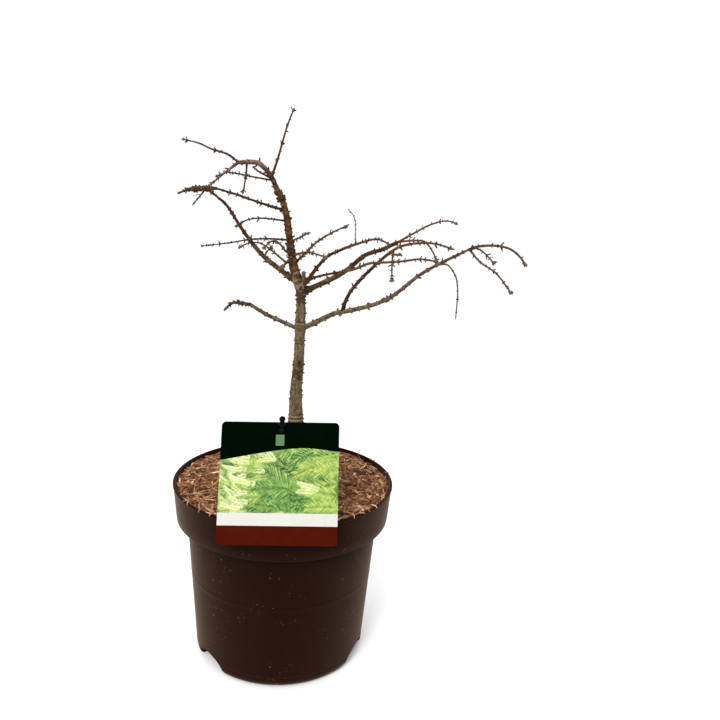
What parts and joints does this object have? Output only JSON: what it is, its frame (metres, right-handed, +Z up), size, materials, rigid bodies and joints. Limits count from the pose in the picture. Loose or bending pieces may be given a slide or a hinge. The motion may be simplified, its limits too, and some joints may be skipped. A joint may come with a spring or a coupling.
{
  "type": "potted dawn redwood",
  "caption": "Young leafless dawn redwood with an arched top and long knobbly side boughs, in a tall-collared nursery pot of bark mulch with a blank label card on a stake.",
  "frame": {"origin": "centre of the pot's flat underside", "axes": "+Z up, +X towards the side where the tree reaches furthest, +Y to the back, away from the label card"},
  "size_m": [0.3721, 0.2638, 0.6233],
  "materials": {
    "pot_plastic": "satin dark brown",
    "bark_mulch": "rough shredded bark",
    "card": "printed card under a thin gloss film",
    "stake_plastic": "satin black",
    "bark": "rough grey-brown bark",
    "twig": "dull reddish-brown twig bark"
  },
  "bodies": {
    "root": {"pot": "pot_plastic", "mulch": "bark_mulch", "label_card": "card", "label_stake": "stake_plastic", "trunk": "bark", "leader": "bark", "leader_arch": "bark", "bough_low_left": "bark", "bough_low_right": "bark", "bough_rising_right": "bark", "bough_high_right": "bark", "bough_front_right": "bark", "bough_back_right": "bark", "bough_high_left": "bark", "bough_top_left": "bark", "spray_low_left": "twig", "spray_low_right": "twig", "spray_drooping": "twig", "spray_rising_right": "twig", "spray_high_right": "twig", "spray_front_right": "twig", "spray_back_right": "twig", "spray_high_left": "twig", "spray_inner_left": "twig", "spray_fork": "twig", "spray_snag": "twig", "spray_behind": "twig", "spray_left_front": "twig", "spray_right_front": "twig", "spray_right_middle": "twig", "spray_left_middle": "twig", "spray_left_upper": "twig", "spray_top_left": "twig", "spray_top_front": "twig", "spray_top_back": "twig", "spray_top": "twig", "spray_arch_hanging": "twig", "spray_arch_left": "twig"}
  },
  "joints": []
}
